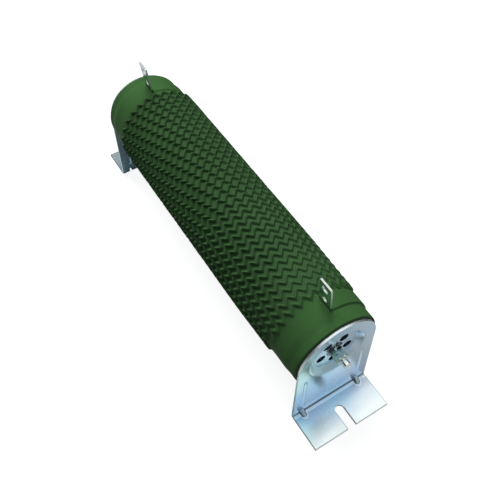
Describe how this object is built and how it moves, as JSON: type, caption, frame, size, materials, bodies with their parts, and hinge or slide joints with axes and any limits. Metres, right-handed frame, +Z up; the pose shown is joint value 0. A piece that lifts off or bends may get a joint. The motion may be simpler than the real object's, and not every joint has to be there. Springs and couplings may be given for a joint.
{
  "type": "corrugated wirewound resistor",
  "caption": "Tubular power resistor with an edge-wound corrugated ribbon on an enamelled ceramic tube, upright terminal tabs and folded end brackets with slotted feet.",
  "frame": {"origin": "middle of the part on the mounting plane under the two feet", "axes": "+X along the tube towards the front end, +Y across the tube, +Z up, the way the terminal tabs stand"},
  "size_m": [0.3134, 0.0666, 0.1155],
  "materials": {
    "green_enamel": "satin green enamel with a fine grain",
    "tinned_strip": "satin tinned strip",
    "zinc_plated_sheet": "bright blue-white zinc plate",
    "fibre_gasket": "matt dark fibre",
    "bright_steel": "bright plated steel",
    "dark_steel": "dark spring steel"
  },
  "bodies": {
    "root": {"ceramic_tube": "green_enamel", "resistance_ribbon": "green_enamel", "front_terminal_band": "tinned_strip", "rear_terminal_band": "tinned_strip", "front_bracket": "zinc_plated_sheet", "rear_bracket": "zinc_plated_sheet", "front_gasket": "fibre_gasket", "rear_gasket": "fibre_gasket", "through_rod": "bright_steel", "front_tooth_washer": "dark_steel", "rear_tooth_washer": "dark_steel", "front_nut": "bright_steel", "rear_nut": "bright_steel", "front_jam_nut": "bright_steel", "rear_jam_nut": "bright_steel"}
  },
  "joints": []
}
